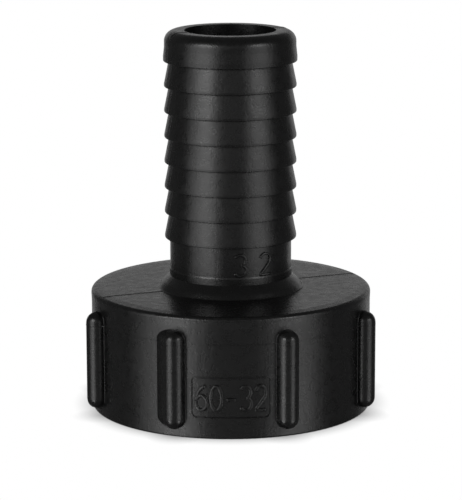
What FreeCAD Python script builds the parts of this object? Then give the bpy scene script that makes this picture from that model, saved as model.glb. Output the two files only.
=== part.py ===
import FreeCAD, Part
import math
import os
import Sketcher
from FreeCAD import Placement, Rotation, Vector

# A threaded cap with a barbed hose tail, moulded in one piece, and the flat washer inside it.
# Millimetres, +Z up. The cap's rim stands on z = 0 and the tail rises along the Z axis.
# The front of the cap, where its size panel is, faces -Y. Azimuths run from -Y towards +X.

SIZES = {
    # Thread inside the cap
    "thread_root_diameter": "60.6",
    "thread_depth": "2.7",
    "thread_pitch": "6",
    "thread_lead_in": "0.4",
    "thread_end_gap": "2.2",
    "thread_crest_width": "1.2",
    "thread_load_angle": "10",
    "thread_lead_angle": "45",
    "thread_embed": "0.3",
    "thread_trim": "0.4",
    "mouth_chamfer": "1.2",
    "socket_round": "0.8",
    # Cap around the thread
    "cap_wall": "4.8",
    "cap_height": "30.4",
    "shoulder_thickness": "4.4",
    "shoulder_round": "1.1",
    "shoulder_crown_width": "3.2",
    "shoulder_crown_drop": "0.2",
    "shoulder_swell": "0.13",
    "shoulder_swell_gap": "0.6",
    "rim_round": "0.4",
    # Grip ribs around the cap
    "ribs_per_half": "4",
    "rib_radius": "2.65",
    "rib_stand_off": "0.88",
    "rib_start": "2.15",
    "rib_end_gap": "3.7",
    "rib_root_round": "0.15",
    "draw_azimuth": "22.5",
    # Size panel on the front, between two ribs, with a fine groove round it
    "panel_start": "5.4",
    "panel_height": "9.95",
    "panel_side_gap": "4.22",
    "panel_sink": "0.04",
    "panel_groove_width": "0.3",
    "panel_groove_depth": "0.22",
    "panel_corner_round": "1.1",
    "panel_embed": "0.3",
    # Barbed tail
    "barb_count": "7",
    "barb_pitch": "6.35",
    "barb_diameter": "33",
    "barb_height": "1.15",
    "barb_land": "0.62",
    "barb_edge_round": "0.2",
    "barb_embed": "1",
    "band_rise": "0.18",
    "band_land_height": "1.2",
    "band_taper_height": "2.4",
    "lip_set_in": "0.26",
    "lip_height": "3.97",
    "lip_round": "2.7",
    "tail_wall": "3.83",
    "bore_round": "0.1",
    # Neck, collar and flare under the tail
    "neck_set_in": "0.12",
    "neck_height": "7.55",
    "collar_rise": "0.13",
    "collar_height": "2",
    "collar_taper_height": "0.4",
    "flare_height": "3.1",
    "flare_bend_height": "1.3",
    "flare_bend_reach": "1.89",
    "flare_bend_round": "3",
    "flare_foot_reach": "0.9",
    "flare_foot_round": "0.5",
    # Sealing washer
    "washer_thickness": "3",
    "washer_width": "6",
    "washer_clearance": "1",
    "washer_round": "0.3",
}

# Heights and radii that follow from the sizes above
SOCKET_TOP = "(Sizes.cap_height - Sizes.shoulder_thickness)"
COLLAR_START = "(Sizes.cap_height + Sizes.flare_height)"
NECK_START = f"({COLLAR_START} + Sizes.collar_height)"
TAIL_START = f"({NECK_START} + Sizes.neck_height)"
BAND_START = f"({TAIL_START} + Sizes.barb_count * Sizes.barb_pitch)"
BAND_LAND_END = f"({BAND_START} + Sizes.band_land_height)"
LIP_START = f"({BAND_LAND_END} + Sizes.band_taper_height)"
TOTAL_HEIGHT = f"({LIP_START} + Sizes.lip_height)"

THREAD_ROOT_RADIUS = "(Sizes.thread_root_diameter / 2)"
THREAD_CREST_RADIUS = f"({THREAD_ROOT_RADIUS} - Sizes.thread_depth)"
CAP_RADIUS = f"({THREAD_ROOT_RADIUS} + Sizes.cap_wall)"
RIB_CIRCLE_RADIUS = f"({CAP_RADIUS} + Sizes.rib_stand_off)"
RIB_END = "(Sizes.cap_height - Sizes.rib_end_gap)"

# The shoulder swells out a little above the ribs, and its top falls off gently towards the edge
SWELL_START = f"({RIB_END} + Sizes.shoulder_swell_gap)"
SWELL_RADIUS = f"({CAP_RADIUS} + Sizes.shoulder_swell)"
SWELL_TOP = "(Sizes.cap_height - Sizes.shoulder_crown_drop)"
CROWN_RADIUS = f"({SWELL_RADIUS} - Sizes.shoulder_crown_width)"

# The panel lies halfway between two ribs and keeps its side gap from the ribs' axes
PANEL_AZIMUTH = "(Sizes.draw_azimuth - 90 / Sizes.ribs_per_half)"
PANEL_HALF_ANGLE = f"(90 / Sizes.ribs_per_half - asin(Sizes.panel_side_gap / {CAP_RADIUS}) / 1 deg)"
PANEL_END = "(Sizes.panel_start + Sizes.panel_height)"
PANEL_RADIUS = f"({CAP_RADIUS} - Sizes.panel_sink)"
GROOVE_RADIUS = f"({CAP_RADIUS} - Sizes.panel_groove_depth)"
GROOVE_HALF_ANGLE = f"(asin(Sizes.panel_groove_width / {CAP_RADIUS}) / 1 deg)"

BARB_RADIUS = "(Sizes.barb_diameter / 2)"
BARB_ROOT_RADIUS = f"({BARB_RADIUS} - Sizes.barb_height)"
BAND_RADIUS = f"({BARB_RADIUS} + Sizes.band_rise)"
LIP_RADIUS = f"({BAND_RADIUS} - Sizes.lip_set_in)"
NECK_RADIUS = f"({BARB_ROOT_RADIUS} - Sizes.neck_set_in)"
BORE_RADIUS = f"({NECK_RADIUS} - Sizes.tail_wall)"
COLLAR_RADIUS = f"({NECK_RADIUS} + Sizes.collar_rise)"
FLARE_BEND_RADIUS = f"({COLLAR_RADIUS} + Sizes.flare_bend_reach)"
FLARE_BEND_LEVEL = "(Sizes.cap_height + Sizes.flare_bend_height)"
FLARE_FOOT_RADIUS = f"({FLARE_BEND_RADIUS} + Sizes.flare_foot_reach)"

THREAD_START = "(Sizes.mouth_chamfer + Sizes.thread_lead_in)"
THREAD_CREST_START = f"({THREAD_START} + Sizes.thread_depth * tan(Sizes.thread_lead_angle))"
THREAD_CREST_END = f"({THREAD_CREST_START} + Sizes.thread_crest_width)"
THREAD_ROOT_END = f"({THREAD_CREST_END} + Sizes.thread_depth * tan(Sizes.thread_load_angle))"
WASHER_START = f"({SOCKET_TOP} - Sizes.washer_thickness)"
WASHER_RADIUS = f"({THREAD_ROOT_RADIUS} - Sizes.washer_clearance)"

# The tail's core lies a little under the neck's surface, and the barbs root as far into the core
CORE_RADIUS = f"({NECK_RADIUS} - Sizes.barb_embed)"
BARB_INNER_RADIUS = f"({CORE_RADIUS} - Sizes.barb_embed)"

# How far a cutting outline runs past the solid, and how finely two lengths are told apart
OVERRUN = 1.0
SAME = 0.001
CREST_ARCS = 6
QUARTER = math.pi / 2


def make_sheet(doc):
    sheet = doc.addObject("Spreadsheet::Sheet", "Sizes")
    for row, (alias, size) in enumerate(SIZES.items(), start=1):
        sheet.set(f"A{row}", alias)
        sheet.set(f"B{row}", size)
        sheet.setAlias(f"B{row}", alias)
    doc.recompute()
    return sheet


def number(sheet, expression):
    """Work an expression of the sheet's cells out as a plain number."""
    result = sheet.evalExpression(str(expression))
    return float(getattr(result, "Value", result))


def origin_part(body, role):
    return next(item for item in body.Origin.OriginFeatures if item.Role == role)


def new_sketch(body, name, plane):
    sketch = body.newObject("Sketcher::SketchObject", name)
    sketch.AttachmentSupport = [(origin_part(body, plane), "")]
    sketch.MapMode = "FlatFace"
    return sketch


def hold_point(sketch, edge, end, across, up):
    """Tie one end of an edge to its two expressions. A "0" puts it on the axis itself."""
    for kind, axis, expression in (("DistanceX", -2, across), ("DistanceY", -1, up)):
        if expression == "0":
            sketch.addConstraint(Sketcher.Constraint("PointOnObject", edge, end, axis))
            continue
        place = sketch.getPoint(edge, end)
        distance = place.x if kind == "DistanceX" else place.y
        row = sketch.addConstraint(Sketcher.Constraint(kind, -1, 1, edge, end, distance))
        sketch.setExpression(f"Constraints[{row}]", expression)


def draw_outline(sheet, sketch, corners):
    """Draw a closed outline of straight lines through corners given as (across, up) expressions."""
    points = [Vector(number(sheet, across), number(sheet, up), 0) for across, up in corners]
    count = len(points)
    for index in range(count):
        sketch.addGeometry(Part.LineSegment(points[index], points[(index + 1) % count]))
    for index in range(count):
        sketch.addConstraint(Sketcher.Constraint("Coincident", index, 2, (index + 1) % count, 1))
    for index, (across, up) in enumerate(corners):
        hold_point(sketch, index, 1, across, up)


def revolve(body, sketch, kind, name):
    """Turn a sketch once round its own upright axis, as added material or as a cut."""
    feature = body.newObject(f"PartDesign::{kind}", name)
    feature.Profile = sketch
    feature.ReferenceAxis = (sketch, ["V_Axis"])
    feature.Angle = 360
    return feature


def circle_edges(shape, sheet, places):
    """Names of the full-circle edges about the Z axis at the given (radius, height) expressions."""
    wanted = [(number(sheet, radius), number(sheet, height)) for radius, height in places]
    names = []
    for index, edge in enumerate(shape.Edges, start=1):
        if edge.Degenerated or not isinstance(edge.Curve, Part.Circle):
            continue
        radius = edge.Curve.Radius
        height = edge.Curve.Center.z
        on_axis = edge.Curve.Center.x ** 2 + edge.Curve.Center.y ** 2 < SAME
        if on_axis and any(abs(radius - r) < SAME and abs(height - z) < SAME for r, z in wanted):
            names.append(f"Edge{index}")
    return names


def round_edges(body, sheet, name, base, radius, places):
    doc = body.Document
    doc.recompute()
    edges = circle_edges(base.Shape, sheet, places)
    if not edges:
        raise RuntimeError(f"{name} found no edge to round")
    feature = body.newObject("PartDesign::Fillet", name)
    feature.Base = (base, edges)
    feature.setExpression("Radius", radius)
    return feature


def add_shell(body, sheet):
    """The cap, flare, collar, neck and the tail's core and lip, turned as one solid."""
    sketch = new_sketch(body, "ShellOutline", "XZ_Plane")
    draw_outline(sheet, sketch, [
        ("0", "0"),
        (CAP_RADIUS, "0"),
        (CAP_RADIUS, SWELL_START),
        (SWELL_RADIUS, SWELL_TOP),
        (CROWN_RADIUS, "Sizes.cap_height"),
        (FLARE_FOOT_RADIUS, "Sizes.cap_height"),
        (FLARE_BEND_RADIUS, FLARE_BEND_LEVEL),
        (COLLAR_RADIUS, COLLAR_START),
        (COLLAR_RADIUS, f"{NECK_START} - Sizes.collar_taper_height"),
        (NECK_RADIUS, NECK_START),
        (NECK_RADIUS, TAIL_START),
        (CORE_RADIUS, TAIL_START),
        (CORE_RADIUS, BAND_START),
        (BAND_RADIUS, BAND_START),
        (BAND_RADIUS, BAND_LAND_END),
        (LIP_RADIUS, LIP_START),
        (LIP_RADIUS, TOTAL_HEIGHT),
        ("0", TOTAL_HEIGHT),
    ])
    shell = revolve(body, sketch, "Revolution", "Shell")
    shoulder = round_edges(body, sheet, "ShoulderRound", shell, "Sizes.shoulder_round",
                           [(SWELL_RADIUS, SWELL_TOP)])
    rim = round_edges(body, sheet, "RimRound", shoulder, "Sizes.rim_round", [(CAP_RADIUS, "0")])
    lip = round_edges(body, sheet, "LipRound", rim, "Sizes.lip_round", [(LIP_RADIUS, TOTAL_HEIGHT)])
    bend = round_edges(body, sheet, "FlareBendRound", lip, "Sizes.flare_bend_round",
                       [(FLARE_BEND_RADIUS, FLARE_BEND_LEVEL)])
    return round_edges(body, sheet, "FlareFootRound", bend, "Sizes.flare_foot_round",
                       [(FLARE_FOOT_RADIUS, "Sizes.cap_height")])


def add_barbs(body, sheet):
    """One barb, sharp below and tapering upwards, repeated up the tail."""
    sketch = new_sketch(body, "BarbOutline", "XZ_Plane")
    draw_outline(sheet, sketch, [
        (BARB_INNER_RADIUS, TAIL_START),
        (BARB_RADIUS, TAIL_START),
        (BARB_RADIUS, f"{TAIL_START} + Sizes.barb_land"),
        (BARB_ROOT_RADIUS, f"{TAIL_START} + Sizes.barb_pitch"),
        (BARB_INNER_RADIUS, f"{TAIL_START} + Sizes.barb_pitch"),
    ])
    barb = revolve(body, sketch, "Revolution", "Barb")
    pattern = body.newObject("PartDesign::LinearPattern", "Barbs")
    pattern.Originals = [barb]
    pattern.Direction = (sketch, ["V_Axis"])
    pattern.setExpression("Length", "(Sizes.barb_count - 1) * Sizes.barb_pitch")
    pattern.setExpression("Occurrences", "Sizes.barb_count")
    body.Tip = pattern
    count = round(number(sheet, "Sizes.barb_count"))
    lower_edges = [(BARB_RADIUS, f"{TAIL_START} + {step} * Sizes.barb_pitch") for step in range(count)]
    lower_edges.append((BAND_RADIUS, BAND_START))
    return round_edges(body, sheet, "BarbEdgeRound", pattern, "Sizes.barb_edge_round", lower_edges)


def place_rib_sketch(sketch, azimuth):
    """Stand a sketch on a rib's own axis, facing the way its mould half draws off."""
    sketch.AttachmentOffset = Placement(Vector(0, 0, 0), Rotation(Vector(0, 1, 0), 1))
    sketch.setExpression("AttachmentOffset.Base.x", f"{RIB_CIRCLE_RADIUS} * sin({azimuth})")
    sketch.setExpression("AttachmentOffset.Base.z", f"{RIB_CIRCLE_RADIUS} * cos({azimuth})")
    sketch.setExpression("AttachmentOffset.Rotation.Angle", "Sizes.draw_azimuth")


def draw_slot(sheet, sketch, half):
    """An upright slot with round ends, or only its right half, closed along the rib's axis."""
    low_end = "(Sizes.rib_start + Sizes.rib_radius)"
    high_end = f"({RIB_END} - Sizes.rib_radius)"
    radius = number(sheet, "Sizes.rib_radius")
    low = number(sheet, low_end)
    high = number(sheet, high_end)
    up = Vector(0, 0, 1)
    left = 0 if half else -radius
    reach = radius if half else 0
    turn = QUARTER if half else 2 * QUARTER
    sketch.addGeometry([
        Part.LineSegment(Vector(radius, low, 0), Vector(radius, high, 0)),
        Part.ArcOfCircle(Part.Circle(Vector(0, high, 0), up, radius), 0, turn),
        Part.LineSegment(Vector(left, high + reach, 0), Vector(left, low - reach, 0)),
        Part.ArcOfCircle(Part.Circle(Vector(0, low, 0), up, radius), -turn, 0),
    ])
    side_joint = "Coincident" if half else "Tangent"
    sketch.addConstraint([
        Sketcher.Constraint("Tangent", 0, 2, 1, 1),
        Sketcher.Constraint(side_joint, 1, 2, 2, 1),
        Sketcher.Constraint(side_joint, 2, 2, 3, 1),
        Sketcher.Constraint("Tangent", 3, 2, 0, 1),
        Sketcher.Constraint("Vertical", 0),
        Sketcher.Constraint("PointOnObject", 1, 3, -2),
        Sketcher.Constraint("PointOnObject", 3, 3, -2),
    ])
    if half:
        sketch.addConstraint(Sketcher.Constraint("PointOnObject", 2, 1, -2))
        sketch.addConstraint(Sketcher.Constraint("PointOnObject", 2, 2, -2))
    for kind, edge, end, expression in (("DistanceY", 1, 3, high_end), ("DistanceY", 3, 3, low_end)):
        value = number(sheet, expression)
        row = sketch.addConstraint(Sketcher.Constraint(kind, -1, 1, edge, end, value))
        sketch.setExpression(f"Constraints[{row}]", expression)
    row = sketch.addConstraint(Sketcher.Constraint("Radius", 1, radius))
    sketch.setExpression(f"Constraints[{row}]", "Sizes.rib_radius")


def add_rib(body, sheet, step):
    """A round-nosed rib. Its flanks run back along the mould's draw to the parting plane, which
    leaves the far flank of a slanting rib wide open. A rib on that plane needs no flanks."""
    turn = f"({step} * 180 / Sizes.ribs_per_half)"
    azimuth = f"(Sizes.draw_azimuth + {turn})"
    name = f"Rib{step}".replace("-", "Minus")
    on_parting = abs(2 * step) == round(number(sheet, "Sizes.ribs_per_half"))
    nose_sketch = new_sketch(body, f"{name}NoseOutline", "XZ_Plane")
    place_rib_sketch(nose_sketch, azimuth)
    draw_slot(sheet, nose_sketch, half=True)
    nose = revolve(body, nose_sketch, "Revolution", f"{name}Nose")
    if on_parting:
        return [nose]
    nose.Angle = 180
    nose.Reversed = True
    flank_sketch = new_sketch(body, f"{name}FlankOutline", "XZ_Plane")
    place_rib_sketch(flank_sketch, azimuth)
    draw_slot(sheet, flank_sketch, half=False)
    flank = body.newObject("PartDesign::Pad", f"{name}Flank")
    flank.Profile = flank_sketch
    flank.Reversed = True
    flank.setExpression("Length", f"{RIB_CIRCLE_RADIUS} * cos({turn})")
    return [nose, flank]


def add_ribs(body, sheet):
    """The ribs of one mould half, then the same again half a turn on for the other."""
    count = round(number(sheet, "Sizes.ribs_per_half"))
    steps = [step for step in range(-count, count) if -count < 2 * step <= count]
    ribs = [feature for step in steps for feature in add_rib(body, sheet, step)]
    pattern = body.newObject("PartDesign::PolarPattern", "Ribs")
    pattern.Originals = ribs
    pattern.Axis = (origin_part(body, "Z_Axis"), [""])
    pattern.Angle = 360
    pattern.Occurrences = 2
    body.Tip = pattern
    return round_rib_roots(body, sheet, pattern)


def round_rib_roots(body, sheet, base):
    """Round the inside corner where every rib meets the cap's wall."""
    body.Document.recompute()
    wall_radius = number(sheet, CAP_RADIUS)
    low = number(sheet, "Sizes.rib_start") - SAME
    high = number(sheet, RIB_END) + SAME
    edges = []
    for index, edge in enumerate(base.Shape.Edges, start=1):
        faces = base.Shape.ancestorsOfType(edge, Part.Face)
        walls = [face for face in faces if isinstance(face.Surface, Part.Cylinder)
                 and abs(face.Surface.Radius - wall_radius) < SAME]
        heights = [vertex.Z for vertex in edge.Vertexes]
        if len(faces) == 2 and len(walls) == 1 and low < min(heights) and max(heights) < high:
            edges.append(f"Edge{index}")
    feature = body.newObject("PartDesign::Fillet", "RibRootRound")
    feature.Base = (base, edges)
    feature.setExpression("Radius", "Sizes.rib_root_round")
    return feature


def turn_panel(body, sheet, kind, name, corners, half_angle):
    """Turn an outline part of the way round the axis, as much to either side of the panel's middle."""
    sketch = new_sketch(body, f"{name}Outline", "XZ_Plane")
    sketch.AttachmentOffset = Placement(Vector(0, 0, 0), Rotation(Vector(0, 1, 0), 1))
    sketch.setExpression("AttachmentOffset.Rotation.Angle", f"{PANEL_AZIMUTH} - 90")
    draw_outline(sheet, sketch, corners)
    feature = revolve(body, sketch, kind, name)
    feature.Midplane = True
    feature.setExpression("Angle", f"2 * {half_angle}")
    return feature


def round_panel_corners(body, sheet, name, base, radius, inner, outer, ends):
    """Round the four short edges that run straight out between two radii at the given heights."""
    body.Document.recompute()
    length = number(sheet, f"{outer} - {inner}")
    levels = [number(sheet, end) for end in ends]
    corners = []
    for index, edge in enumerate(base.Shape.Edges, start=1):
        heights = [vertex.Z for vertex in edge.Vertexes]
        level = max(heights) - min(heights) < SAME
        if level and abs(edge.Length - length) < SAME and min(abs(heights[0] - z) for z in levels) < SAME:
            corners.append(f"Edge{index}")
    feature = body.newObject("PartDesign::Fillet", name)
    feature.Base = (base, corners)
    feature.setExpression("Radius", radius)
    return feature


def add_panel(body, sheet):
    """Sink the whole panel to the groove's depth, then lay its face back inside the groove. The
    face's corners are rounded first, while they stand clear of the recess's own."""
    outside = f"{CAP_RADIUS} + {OVERRUN}"
    turn_panel(body, sheet, "Groove", "PanelRecess", [
        (GROOVE_RADIUS, "Sizes.panel_start"),
        (outside, "Sizes.panel_start"),
        (outside, PANEL_END),
        (GROOVE_RADIUS, PANEL_END),
    ], PANEL_HALF_ANGLE)
    embedded = f"{GROOVE_RADIUS} - Sizes.panel_embed"
    low = "(Sizes.panel_start + Sizes.panel_groove_width)"
    high = f"({PANEL_END} - Sizes.panel_groove_width)"
    face = turn_panel(body, sheet, "Revolution", "PanelFace", [
        (embedded, low),
        (PANEL_RADIUS, low),
        (PANEL_RADIUS, high),
        (embedded, high),
    ], f"({PANEL_HALF_ANGLE} - {GROOVE_HALF_ANGLE})")
    rounded = round_panel_corners(body, sheet, "PanelFaceRound", face,
                                  "Sizes.panel_corner_round - Sizes.panel_groove_width",
                                  GROOVE_RADIUS, PANEL_RADIUS, [low, high])
    return round_panel_corners(body, sheet, "PanelRecessRound", rounded, "Sizes.panel_corner_round",
                               GROOVE_RADIUS, CAP_RADIUS, ["Sizes.panel_start", PANEL_END])


def cut_socket(body, sheet):
    """The threaded socket under the shoulder and the bore up through the tail."""
    sketch = new_sketch(body, "SocketOutline", "XZ_Plane")
    mouth = f"{THREAD_ROOT_RADIUS} + Sizes.mouth_chamfer"
    draw_outline(sheet, sketch, [
        ("0", f"-{OVERRUN}"),
        (mouth, f"-{OVERRUN}"),
        (mouth, "0"),
        (THREAD_ROOT_RADIUS, "Sizes.mouth_chamfer"),
        (THREAD_ROOT_RADIUS, SOCKET_TOP),
        (BORE_RADIUS, SOCKET_TOP),
        (BORE_RADIUS, f"{TOTAL_HEIGHT} + {OVERRUN}"),
        ("0", f"{TOTAL_HEIGHT} + {OVERRUN}"),
    ])
    socket = revolve(body, sketch, "Groove", "Socket")
    corner = round_edges(body, sheet, "SocketRound", socket, "Sizes.socket_round",
                         [(THREAD_ROOT_RADIUS, SOCKET_TOP)])
    return round_edges(body, sheet, "BoreRound", corner, "Sizes.bore_round",
                       [(BORE_RADIUS, SOCKET_TOP), (BORE_RADIUS, TOTAL_HEIGHT)])


def add_thread(body, sheet):
    """A coarse buttress ridge inside the socket. It is drawn a little too tall, then its crest is
    trimmed true by a round cut whose outline is a ring of arcs."""
    sketch = new_sketch(body, "ThreadOutline", "XZ_Plane")
    outer = f"{THREAD_ROOT_RADIUS} + Sizes.thread_embed"
    inner = f"{THREAD_CREST_RADIUS} - Sizes.thread_trim"
    draw_outline(sheet, sketch, [
        (outer, f"{THREAD_START} - Sizes.thread_embed * tan(Sizes.thread_lead_angle)"),
        (inner, f"{THREAD_CREST_START} + Sizes.thread_trim * tan(Sizes.thread_lead_angle)"),
        (inner, f"{THREAD_CREST_END} - Sizes.thread_trim * tan(Sizes.thread_load_angle)"),
        (outer, f"{THREAD_ROOT_END} + Sizes.thread_embed * tan(Sizes.thread_load_angle)"),
    ])
    ridge = body.newObject("PartDesign::AdditiveHelix", "ThreadRidge")
    ridge.Profile = sketch
    ridge.ReferenceAxis = (sketch, ["V_Axis"])
    ridge.Mode = "pitch-height-angle"
    ridge.Refine = False
    ridge.setExpression("Pitch", "Sizes.thread_pitch")
    ridge.setExpression("Height", f"{WASHER_START} - Sizes.thread_end_gap - {THREAD_ROOT_END}")

    outline = new_sketch(body, "CrestOutline", "XY_Plane")
    radius = number(sheet, THREAD_CREST_RADIUS)
    circle = Part.Circle(Vector(0, 0, 0), Vector(0, 0, 1), radius)
    arc = 2 * math.pi / CREST_ARCS
    for index in range(CREST_ARCS):
        outline.addGeometry(Part.ArcOfCircle(circle, index * arc, (index + 1) * arc))
        outline.addConstraint(Sketcher.Constraint("Coincident", index, 3, -1, 1))
        outline.addConstraint(Sketcher.Constraint("Angle", index, arc))
    for index in range(CREST_ARCS - 1):
        outline.addConstraint(Sketcher.Constraint("Coincident", index, 2, index + 1, 1))
    row = outline.addConstraint(Sketcher.Constraint("Radius", 0, radius))
    outline.setExpression(f"Constraints[{row}]", THREAD_CREST_RADIUS)
    trim = body.newObject("PartDesign::Pocket", "ThreadCrest")
    trim.Profile = outline
    trim.Reversed = True
    trim.Refine = False
    trim.setExpression("Length", WASHER_START)
    return trim


def make_adapter(doc, sheet):
    body = doc.addObject("PartDesign::Body", "adapter_body")
    body.Label = "adapter_body"
    add_shell(body, sheet)
    add_barbs(body, sheet)
    add_ribs(body, sheet)
    add_panel(body, sheet)
    cut_socket(body, sheet)
    add_thread(body, sheet)
    return body


def make_washer(doc, sheet):
    """The flat ring that seals on the tap's end, up against the socket's top."""
    body = doc.addObject("PartDesign::Body", "sealing_washer")
    body.Label = "sealing_washer"
    sketch = new_sketch(body, "WasherOutline", "XY_Plane")
    for radius in (WASHER_RADIUS, f"({WASHER_RADIUS} - Sizes.washer_width)"):
        circle = Part.Circle(Vector(0, 0, 0), Vector(0, 0, 1), number(sheet, radius))
        edge = sketch.addGeometry(circle)
        sketch.addConstraint(Sketcher.Constraint("Coincident", edge, 3, -1, 1))
        row = sketch.addConstraint(Sketcher.Constraint("Radius", edge, circle.Radius))
        sketch.setExpression(f"Constraints[{row}]", radius)
    ring = body.newObject("PartDesign::Pad", "Ring")
    ring.Profile = sketch
    ring.setExpression("Length", "Sizes.washer_thickness")
    inside = f"{WASHER_RADIUS} - Sizes.washer_width"
    round_edges(body, sheet, "RingRound", ring, "Sizes.washer_round", [
        (WASHER_RADIUS, "0"),
        (WASHER_RADIUS, "Sizes.washer_thickness"),
        (inside, "0"),
        (inside, "Sizes.washer_thickness"),
    ])
    body.setExpression("Placement.Base.z", WASHER_START)
    return body


def check(doc, parts):
    for item in doc.Objects:
        if "Invalid" in item.State or "Error" in item.State:
            raise RuntimeError(f"{item.Name} failed: {item.State}")
    for part in parts:
        if part.Shape.isNull() or not part.Shape.isValid():
            raise RuntimeError(f"{part.Label} has no valid shape")


def main():
    doc = FreeCAD.newDocument("TapAdapter")
    sheet = make_sheet(doc)
    parts = [make_adapter(doc, sheet), make_washer(doc, sheet)]
    doc.recompute()
    check(doc, parts)
    os.makedirs("parts", exist_ok=True)
    for part in parts:
        part.Shape.exportStep(f"parts/{part.Label}.step")
        print(part.Label, "solids", len(part.Shape.Solids), "volume", round(part.Shape.Volume, 2))


main()
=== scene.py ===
"""The looks of a threaded cap with a barbed hose tail: satin black moulding, rubber washer, studio light."""
import math

import bpy
from mathutils import Matrix, Vector
from mathutils.bvhtree import BVHTree


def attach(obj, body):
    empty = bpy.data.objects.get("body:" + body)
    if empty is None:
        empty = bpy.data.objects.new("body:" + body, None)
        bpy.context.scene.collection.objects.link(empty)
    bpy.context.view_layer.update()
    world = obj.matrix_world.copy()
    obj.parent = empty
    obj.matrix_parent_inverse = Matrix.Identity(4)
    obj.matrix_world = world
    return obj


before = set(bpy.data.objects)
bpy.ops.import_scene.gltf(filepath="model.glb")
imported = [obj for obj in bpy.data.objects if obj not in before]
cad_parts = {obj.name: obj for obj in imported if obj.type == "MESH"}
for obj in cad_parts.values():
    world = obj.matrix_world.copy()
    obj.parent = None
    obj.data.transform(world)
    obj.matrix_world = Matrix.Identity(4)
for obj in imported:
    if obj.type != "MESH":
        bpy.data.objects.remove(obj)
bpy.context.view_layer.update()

MM = 0.001
SCENE = bpy.context.scene
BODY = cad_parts["adapter_body"]
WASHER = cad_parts["sealing_washer"]

# Camera: its distance, height, roll and lens were fitted to the photograph
CAMERA_DISTANCE = 0.6549
CAMERA_PITCH = math.radians(12.16)
CAMERA_ROLL = math.radians(-0.14)
CAMERA_TARGET = Vector((0.08 * MM, 0.0, 39.33 * MM))
CAMERA_LENS = 187.2

# Places on the moulding that the fine details follow. Azimuths are in degrees from the front, -Y
CAP_RADIUS = 35.1 * MM
WALL_START = 1.0 * MM
WALL_END = 28.6 * MM
SPLIT_HEIGHT = 23.5 * MM
SHOULDER_OUTER_RADIUS = 34.2 * MM
SHOULDER_INNER_RADIUS = 18.4 * MM
NECK_START = 35.6 * MM
NECK_RADIUS = 15.23 * MM
LIP_ROUND_START = 92.2 * MM
LIP_OUTER_RADIUS = 16.2 * MM
BORE_RADIUS = 11.5 * MM
PARTING_AZIMUTHS = (-67.5, 112.5)
PANEL_AZIMUTH = 0.0
PANEL_HALF_WIDTH = 9.55 * MM
PANEL_LOW = 5.4 * MM
PANEL_HIGH = 15.35 * MM
PANEL_CORNER_RADIUS = 1.1 * MM
PANEL_LIP_OFFSET = 0.12 * MM

# Where the skin is looked at from
FAR_OUT = 60 * MM
FAR_UP = 120 * MM

# Steps along the paths that the ridges follow
WALL_PITCH = 0.4 * MM
SHOULDER_PITCH = 0.5 * MM
TAIL_PITCH = 0.3 * MM
MOUTH_PITCH = 0.3 * MM
PANEL_LIP_PITCH = 0.5 * MM
PANEL_CORNER_PITCH = 15.0
SPLIT_LINE_STEPS = 720

# Width and height over the skin of each piece that is made of ridges
RIDGE_SIZES = {
    "parting_line_walls": (0.2 * MM, 0.04 * MM),
    "parting_line_shoulder": (0.45 * MM, 0.27 * MM),
    "parting_line_rim": (0.25 * MM, 0.07 * MM),
    "split_line": (0.18 * MM, 0.05 * MM),
    "panel_lip": (0.22 * MM, 0.09 * MM),
    "panel_numbers": (0.85 * MM, 0.4 * MM),
    "neck_numbers": (0.72 * MM, 0.4 * MM),
}
RIDGE_ROOT = 0.08 * MM
RIDGE_DOME_STEPS = 8

# Raised numbers. A tracking is the gap between signs as a share of their height
PANEL_TEXT = "60-32"
PANEL_TEXT_START = 7.2 * MM
PANEL_TEXT_HEIGHT = 6.0 * MM
PANEL_TEXT_TRACKING = 0.15
PANEL_TEXT_SQUEEZE = 0.8
NECK_TEXT = "32"
NECK_TEXT_AZIMUTH = 21.5
NECK_TEXT_START = 35.9 * MM
NECK_TEXT_HEIGHT = 5.3 * MM
NECK_TEXT_TRACKING = 0.7
NUMBER_FLATNESS = 0.65
GLYPH_WIDTH = 0.56

# Layers of bumps: scale and detail of the noise, and height of the bumps
PLASTIC_WAVES = (160.0, 2.0, 0.06 * MM)
PLASTIC_MOTTLE = (520.0, 3.0, 0.04 * MM)
PLASTIC_DRAG = (1500.0, 2.0, 0.016 * MM)
PLASTIC_GRAIN = (2600.0, 2.0, 0.04 * MM)
RUBBER_MOTTLE = (900.0, 3.0, 0.03 * MM)
RUBBER_GRAIN = (5200.0, 2.0, 0.01 * MM)

# Drag marks are long and upright, because their noise is stretched in height
DRAG_SCALE = (1.0, 1.0, 0.06)

# Ranges of grey and of roughness, which vary as a mottle's noise goes from low to high
NOISE_LOW = 0.3
NOISE_HIGH = 0.7
PLASTIC_GREYS = (0.0042, 0.0058)
PLASTIC_ROUGHNESS = (0.24, 0.33)
PLASTIC_IOR = 1.49
RUBBER_GREYS = (0.014, 0.022)
RUBBER_ROUGHNESS = (0.62, 0.78)
RUBBER_IOR = 1.5

# Stage
FLOOR_REACH = 3.0
FLOOR_HEIGHT = -0.02 * MM
FLOOR_GLOSS = 0.9
FLOOR_ROUGHNESS = 0.2
FLOOR_COLOUR = 0.05
# The contact shadow is painted into the floor's emission from ambient occlusion: its reach, softening and
# samples
CONTACT_SHADOW_REACH = 5.5 * MM
CONTACT_SHADOW_SOFTENING = 0.75
CONTACT_SHADOW_SAMPLES = 16
AMBIENT = 0.09

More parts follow.
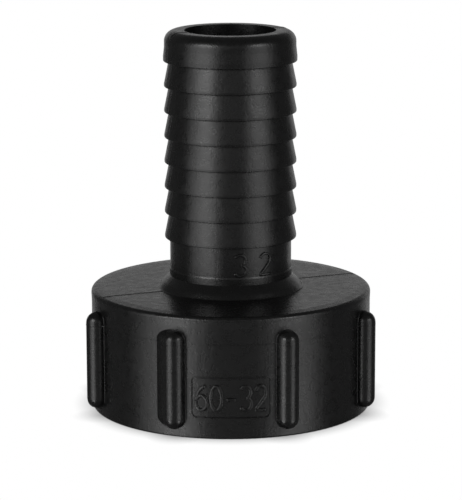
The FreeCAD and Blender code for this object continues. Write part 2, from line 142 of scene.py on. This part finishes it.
# Lamps: name, azimuth, width, heights of the lower and upper edge, brightness, distance from the axis
LAMPS = (
    ("left_soft_box", -50.0, 0.74, 0.0, 0.36, 1.2, 0.7),
    ("left_core", -46.0, 0.33, 0.0, 0.24, 1.0, 0.7),
    ("left_core_top", -46.0, 0.36, 0.29, 0.46, 7.0, 0.7),
    ("right_soft_box", 51.0, 0.62, 0.0, 0.36, 0.8, 0.7),
    ("right_core", 54.0, 0.28, 0.0, 0.24, 0.55, 0.7),
    ("right_core_top", 53.0, 0.33, 0.29, 0.46, 4.8, 0.7),
    ("front_card", 0.0, 0.5, 0.17, 0.42, 0.3, 0.75),
    ("back_card", 174.0, 1.1, 0.0, 0.32, 0.4, 0.8),
)


# Points and directions

def direction(azimuth):
    """Unit vector away from the axis. Azimuths are in degrees from the front, -Y, towards +X."""
    turn = math.radians(azimuth)
    return Vector((math.sin(turn), -math.cos(turn), 0.0))


def steps(low, high, pitch):
    """Evenly spaced values from low to high, both ends included."""
    count = max(1, math.ceil(abs(high - low) / pitch))
    return [low + (high - low) * index / count for index in range(count + 1)]


def arc(middle, reach, start, end, pitch=12.0):
    """Points on part of an ellipse. Degrees, counter-clockwise when end is over start."""
    turns = [math.radians(turn) for turn in steps(start, end, pitch)]
    return [(middle[0] + reach[0] * math.cos(turn), middle[1] + reach[1] * math.sin(turn)) for turn in turns]


def line(start, end, pitch=0.1):
    """Points from start to end. The pitch is a share of the way."""
    return [(start[0] + (end[0] - start[0]) * share, start[1] + (end[1] - start[1]) * share)
            for share in steps(0.0, 1.0, pitch)]


class Skin:
    """The outside of the moulding: places on it and the way that it faces there."""

    def __init__(self, node):
        mesh = node.data
        points = [vertex.co for vertex in mesh.vertices]
        faces = [tuple(face.vertices) for face in mesh.polygons]
        self.tree = BVHTree.FromPolygons(points, faces)

    def beside(self, azimuth, height):
        inward = -direction(azimuth)
        start = Vector((0.0, 0.0, height)) - inward * FAR_OUT
        return self.tree.ray_cast(start, inward)[:2]

    def above(self, azimuth, radius):
        start = direction(azimuth) * radius + Vector((0.0, 0.0, FAR_UP))
        return self.tree.ray_cast(start, Vector((0.0, 0.0, -1.0)))[:2]


# Fine ridges on the moulding

def ridge_section(width, height, flatness):
    """A dome standing on a root that lies inside the wall, as (across, out) pairs. A flatness of 1 is
    half an ellipse, and smaller values square it up."""
    dome = []
    for step in range(RIDGE_DOME_STEPS + 1):
        turn = math.pi * step / RIDGE_DOME_STEPS
        across = math.copysign(abs(math.cos(turn)) ** flatness, math.cos(turn))
        dome.append((0.5 * width * across, height * math.sin(turn) ** flatness))
    return dome + [(-0.5 * width, -RIDGE_ROOT), (0.5 * width, -RIDGE_ROOT)]


def sweep_ridge(points, outs, section, closed):
    """Vertices and faces of one ridge along a path that knows which way is out at each point."""
    size = len(section)
    count = len(points)
    vertices = []
    for index, (point, out) in enumerate(zip(points, outs)):
        before = points[index - 1] if closed or index else point
        after = points[(index + 1) % count] if closed or index < count - 1 else point
        side = out.cross(after - before).normalized()
        vertices += [point + side * across + out * rise for across, rise in section]
    faces = []
    for step in range(count if closed else count - 1):
        here = step * size
        there = (step + 1) % count * size
        for index in range(size):
            after = (index + 1) % size
            faces.append((here + index, there + index, there + after, here + after))
    if not closed:
        last = (count - 1) * size
        faces.append(tuple(range(size)))
        faces.append(tuple(last + index for index in reversed(range(size))))
    return vertices, faces


def add_ridges(name, paths, material, flatness=1.0):
    """One piece made of ridges. Each path is (places, closed), and a place is (point, out)."""
    vertices = []
    faces = []
    width, height = RIDGE_SIZES[name]
    section = ridge_section(width, height, flatness)
    for places, closed in paths:
        points, outs = zip(*places)
        new_vertices, new_faces = sweep_ridge(points, outs, section, closed)
        faces += [tuple(len(vertices) + index for index in face) for face in new_faces]
        vertices += new_vertices
    mesh = bpy.data.meshes.new(name)
    mesh.from_pydata(vertices, [], faces)
    mesh.validate()
    mesh.update()
    mesh.shade_smooth()
    mesh.materials.append(material)
    piece = bpy.data.objects.new(name, mesh)
    SCENE.collection.objects.link(piece)
    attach(piece, "root")


def in_parting_plane(places, azimuth):
    """The same places, with out square to the path in the parting plane, so that corners stay clean."""
    across = Vector((0.0, 0.0, 1.0)).cross(direction(azimuth))
    points = [point for point, _ in places]
    result = []
    for index, point in enumerate(points):
        along = points[min(index + 1, len(points) - 1)] - points[max(index - 1, 0)]
        result.append((point, along.cross(across).normalized()))
    return result


def add_parting_lines(skin, material):
    """The witness of the mould's two halves: clear on the shoulder, and faint on the walls, the tail
    and its mouth."""
    faint = []
    clear = []
    rim = []
    for azimuth in PARTING_AZIMUTHS:
        walls = [skin.beside(azimuth, height) for height in steps(WALL_START, WALL_END, WALL_PITCH)]
        tail = [skin.beside(azimuth, height) for height in steps(NECK_START, LIP_ROUND_START, TAIL_PITCH)]
        shoulder = [skin.above(azimuth, radius)
                    for radius in steps(SHOULDER_OUTER_RADIUS, SHOULDER_INNER_RADIUS, SHOULDER_PITCH)]
        mouth = [skin.above(azimuth, radius) for radius in steps(LIP_OUTER_RADIUS, BORE_RADIUS, MOUTH_PITCH)]
        faint += [(in_parting_plane(walls, azimuth), False), (in_parting_plane(tail, azimuth), False)]
        clear.append((in_parting_plane(shoulder, azimuth), False))
        rim.append((in_parting_plane(mouth, azimuth), False))
    add_ridges("parting_line_walls", faint, material)
    add_ridges("parting_line_shoulder", clear, material)
    add_ridges("parting_line_rim", rim, material)


def add_split_line(skin, material):
    """The witness round the cap and over its ribs, where the mould's top plate meets its halves."""
    pitch = 360.0 / SPLIT_LINE_STEPS
    ring = [skin.beside(pitch * step, SPLIT_HEIGHT) for step in range(SPLIT_LINE_STEPS)]
    add_ridges("split_line", [(ring, True)], material)


def add_panel_lip(skin, material):
    """The low lip along the outer edge of the groove round the size panel."""
    side = PANEL_HALF_WIDTH - PANEL_CORNER_RADIUS
    low = PANEL_LOW + PANEL_CORNER_RADIUS
    high = PANEL_HIGH - PANEL_CORNER_RADIUS
    reach = PANEL_CORNER_RADIUS + PANEL_LIP_OFFSET
    outline = []
    for quarter, middle in enumerate([(side, high), (-side, high), (-side, low), (side, low)]):
        start = 90.0 * quarter
        outline += arc(middle, (reach, reach), start, start + 90.0, PANEL_CORNER_PITCH)
    points = []
    for start, end in zip(outline, outline[1:] + outline[:1]):
        length = max(math.dist(start, end), PANEL_LIP_PITCH)
        points += line(start, end, PANEL_LIP_PITCH / length)[:-1]
    ring = [skin.beside(PANEL_AZIMUTH + math.degrees(across / CAP_RADIUS), height)
            for across, height in points]
    add_ridges("panel_lip", [(ring, True)], material)


# Strokes of each sign in a box one high and GLYPH_WIDTH wide: (points, closed)
GLYPHS = {
    "0": [(arc((0.28, 0.5), (0.28, 0.5), 0.0, 348.0), True)],
    "6": [(arc((0.28, 0.3), (0.28, 0.3), 0.0, 348.0), True),
          (arc((0.56, 0.3), (0.56, 0.7), 175.0, 98.0), False)],
    "-": [(line((0.06, 0.45), (0.5, 0.45)), False)],
    "3": [(arc((0.27, 0.75), (0.26, 0.25), 150.0, -80.0), False),
          (arc((0.27, 0.26), (0.29, 0.26), 80.0, -150.0), False)],
    "2": [(arc((0.28, 0.72), (0.27, 0.28), 165.0, -30.0) + line((0.46, 0.5), (0.02, 0.03))[1:], False),
          (line((0.0, 0.0), (0.56, 0.0)), False)],
}


def write_on(skin, text, azimuth, radius, low, height, tracking, squeeze=1.0):
    """Paths of a row of signs wrapped round the axis and centred on an azimuth. A squeeze under 1 makes
    the signs narrower."""
    advance = GLYPH_WIDTH * squeeze + tracking
    start = -0.5 * (advance * len(text) - tracking)
    paths = []
    for index, sign in enumerate(text):
        for points, closed in GLYPHS[sign]:
            places = []
            for across, up in points:
                turn = math.degrees((start + index * advance + across * squeeze) * height / radius)
                places.append(skin.beside(azimuth + turn, low + up * height))
            paths.append((places, closed))
    return paths


def add_numbers(skin, material):
    """Plain size numbers: thread and hose on the cap's panel, and the hose again on the neck."""
    panel = write_on(skin, PANEL_TEXT, PANEL_AZIMUTH, CAP_RADIUS, PANEL_TEXT_START, PANEL_TEXT_HEIGHT,
                     PANEL_TEXT_TRACKING, PANEL_TEXT_SQUEEZE)
    add_ridges("panel_numbers", panel, material, NUMBER_FLATNESS)
    neck = write_on(skin, NECK_TEXT, NECK_TEXT_AZIMUTH, NECK_RADIUS, NECK_TEXT_START, NECK_TEXT_HEIGHT,
                    NECK_TEXT_TRACKING)
    add_ridges("neck_numbers", neck, material, NUMBER_FLATNESS)


# Materials

class Nodes:
    """The node tree of a material or a world, with one short call for each node."""

    def __init__(self, owner):
        owner.use_nodes = True
        self.owner = owner
        self.tree = owner.node_tree
        self.tree.nodes.clear()

    def add(self, kind, settings=None, **sockets):
        node = self.tree.nodes.new(kind)
        for key, value in (settings or {}).items():
            setattr(node, key, value)
        for key, value in sockets.items():
            self.plug(node, key.replace("_", " "), value)
        return node

    def plug(self, node, socket, value):
        """Link a value or set it. A socket is named, or numbered as "#0"."""
        target = node.inputs[int(socket[1:])] if socket[0] == "#" else node.inputs[socket]
        if isinstance(value, bpy.types.NodeSocket):
            self.tree.links.new(value, target)
        else:
            target.default_value = value


def grey(value):
    return (value, value, value, 1.0)


def add_bumps(nodes, place, layer, below=None):
    """One layer of bumps on those below it: the noise, and the normal of them all."""
    scale, detail, height = layer
    value = nodes.add("ShaderNodeTexNoise", Vector=place, Scale=scale, Detail=detail).outputs["Fac"]
    node = nodes.add("ShaderNodeBump", Strength=1.0, Distance=height, Height=value)
    if below is not None:
        nodes.plug(node, "Normal", below)
    return value, node.outputs["Normal"]


def spread(nodes, value, low, high):
    """Map a noise value onto a range."""
    node = nodes.add("ShaderNodeMapRange", Value=value)
    ends = (("From Min", NOISE_LOW), ("From Max", NOISE_HIGH), ("To Min", low), ("To Max", high))
    for socket, number in ends:
        nodes.plug(node, socket, number)
    return node.outputs["Result"]


def two_greys(nodes, value, dark, light):
    """Blend two greys. The node's inputs 6 and 7 and its output 2 are colours."""
    node = nodes.add("ShaderNodeMix", {"data_type": "RGBA"}, Factor=value)
    nodes.plug(node, "#6", grey(dark))
    nodes.plug(node, "#7", grey(light))
    return node.outputs[2]


def finish_surface(nodes, mottle, normal, greys, roughness, ior):
    """The shader over the bumps. Its grey and its roughness vary with the mottle."""
    shader = nodes.add("ShaderNodeBsdfPrincipled", Normal=normal, IOR=ior)
    nodes.plug(shader, "Base Color", two_greys(nodes, mottle, *greys))
    nodes.plug(shader, "Roughness", spread(nodes, mottle, *roughness))
    nodes.add("ShaderNodeOutputMaterial", Surface=shader.outputs["BSDF"])
    return nodes.owner


def make_plastic():
    """Satin black polypropylene: slow waves from the mould, drag marks up the walls and a fine grain."""
    nodes = Nodes(bpy.data.materials.new("moulded_plastic_satin"))
    place = nodes.add("ShaderNodeTexCoord").outputs["Object"]
    upright = nodes.add("ShaderNodeMapping", Vector=place, Scale=DRAG_SCALE).outputs["Vector"]
    _, normal = add_bumps(nodes, place, PLASTIC_WAVES)
    mottle, normal = add_bumps(nodes, place, PLASTIC_MOTTLE, normal)
    _, normal = add_bumps(nodes, upright, PLASTIC_DRAG, normal)
    _, normal = add_bumps(nodes, place, PLASTIC_GRAIN, normal)
    return finish_surface(nodes, mottle, normal, PLASTIC_GREYS, PLASTIC_ROUGHNESS, PLASTIC_IOR)


def make_rubber():
    """Dull black rubber with a fine moulded grain."""
    nodes = Nodes(bpy.data.materials.new("washer_rubber_dull"))
    place = nodes.add("ShaderNodeTexCoord").outputs["Object"]
    mottle, normal = add_bumps(nodes, place, RUBBER_MOTTLE)
    _, normal = add_bumps(nodes, place, RUBBER_GRAIN, normal)
    return finish_surface(nodes, mottle, normal, RUBBER_GREYS, RUBBER_ROUGHNESS, RUBBER_IOR)


def dress(node, material):
    """Give every material slot of a carried-over piece this material."""
    for slot in node.material_slots:
        slot.material = material


# Stage

def seen_directly(nodes):
    """1 for what the camera sees, also through glass, and 0 for shed light and reflections."""
    path = nodes.add("ShaderNodeLightPath").outputs
    either = nodes.add("ShaderNodeMath", {"operation": "MAXIMUM"})
    nodes.plug(either, "#0", path["Is Camera Ray"])
    nodes.plug(either, "#1", path["Is Transmission Ray"])
    return either.outputs["Value"]


def mix_shaders(nodes, share, first, second):
    """The first shader where the share is 0, and the second where it is 1."""
    node = nodes.add("ShaderNodeMixShader")
    for index, value in enumerate((share, first, second)):
        nodes.plug(node, f"#{index}", value)
    return node.outputs["Shader"]


def make_floor_material():
    """White to the eye, with a painted shadow under the rim that darkens as the object comes near. In
    reflections it is a dim glossy board, and from below it isn't there, so that the underside can be seen."""
    nodes = Nodes(bpy.data.materials.new("studio_floor"))
    # Painted shadow: the emission that the camera sees is darkened by ambient occlusion near the object
    closeness = nodes.add("ShaderNodeAmbientOcclusion", {"samples": CONTACT_SHADOW_SAMPLES},
                          Distance=CONTACT_SHADOW_REACH).outputs["Color"]
    painted_contact_shadow = nodes.add("ShaderNodeGamma", Color=closeness, Gamma=CONTACT_SHADOW_SOFTENING).outputs["Color"]
    white_with_painted_shadow = nodes.add("ShaderNodeEmission", Color=painted_contact_shadow, Strength=1.0).outputs["Emission"]
    gloss = nodes.add("ShaderNodeBsdfAnisotropic", Color=grey(FLOOR_GLOSS), Roughness=FLOOR_ROUGHNESS)
    board = nodes.add("ShaderNodeBsdfDiffuse", Color=grey(FLOOR_COLOUR))
    dim = nodes.add("ShaderNodeAddShader")
    nodes.plug(dim, "#0", gloss.outputs["BSDF"])
    nodes.plug(dim, "#1", board.outputs["BSDF"])
    upper = mix_shaders(nodes, seen_directly(nodes), dim.outputs["Shader"], white_with_painted_shadow)
    from_below = nodes.add("ShaderNodeNewGeometry").outputs["Backfacing"]
    clear = nodes.add("ShaderNodeBsdfTransparent").outputs["BSDF"]
    nodes.add("ShaderNodeOutputMaterial", Surface=mix_shaders(nodes, from_below, upper, clear))
    return nodes.owner


def make_floor():
    mesh = bpy.data.meshes.new("studio_floor")
    reach = FLOOR_REACH
    corners = [(-reach, -reach), (reach, -reach), (reach, reach), (-reach, reach)]
    mesh.from_pydata([(x, y, FLOOR_HEIGHT) for x, y in corners], [], [(0, 1, 2, 3)])
    mesh.materials.append(make_floor_material())
    floor = bpy.data.objects.new("studio_floor", mesh)
    SCENE.collection.objects.link(floor)


def make_world():
    """White to the eye. The light that it sheds, and its reflections, are a dim grey."""
    nodes = Nodes(bpy.data.worlds.new("studio"))
    shed = nodes.add("ShaderNodeBackground", Color=grey(AMBIENT)).outputs["Background"]
    shown = nodes.add("ShaderNodeBackground", Color=grey(1.0)).outputs["Background"]
    nodes.add("ShaderNodeOutputWorld", Surface=mix_shaders(nodes, seen_directly(nodes), shed, shown))
    SCENE.world = nodes.owner


def add_lamp(name, azimuth, width, low, high, radiance, distance):
    """An upright rectangular lamp that faces the axis. Its brightness is what a reflection shows."""
    lamp = bpy.data.lights.new(name, "AREA")
    lamp.shape = "RECTANGLE"
    lamp.size = width
    lamp.size_y = high - low
    lamp.energy = math.pi * radiance * width * (high - low)
    holder = bpy.data.objects.new(name, lamp)
    SCENE.collection.objects.link(holder)
    holder.location = direction(azimuth) * distance + Vector((0.0, 0.0, 0.5 * (low + high)))
    holder.rotation_euler = direction(azimuth).to_track_quat("Z", "Y").to_euler()
    holder.visible_camera = False


def make_lights():
    """Soft boxes left and right with brighter cores, a dim card in front and a pale one behind."""
    for lamp in LAMPS:
        add_lamp(*lamp)


def make_camera():
    lens = bpy.data.cameras.new("camera")
    lens.lens = CAMERA_LENS
    camera = bpy.data.objects.new("camera", lens)
    SCENE.collection.objects.link(camera)
    away = Vector((0.0, -math.cos(CAMERA_PITCH), math.sin(CAMERA_PITCH)))
    aim = away.to_track_quat("Z", "Y").to_matrix() @ Matrix.Rotation(CAMERA_ROLL, 3, "Z")
    camera.location = CAMERA_TARGET + away * CAMERA_DISTANCE
    camera.rotation_euler = aim.to_euler()
    SCENE.camera = camera


def main():
    plastic = make_plastic()
    dress(BODY, plastic)
    dress(WASHER, make_rubber())
    skin = Skin(BODY)
    add_parting_lines(skin, plastic)
    add_split_line(skin, plastic)
    add_panel_lip(skin, plastic)
    add_numbers(skin, plastic)
    make_floor()
    make_world()
    make_lights()
    make_camera()
    SCENE.view_settings.view_transform = "Standard"


main()
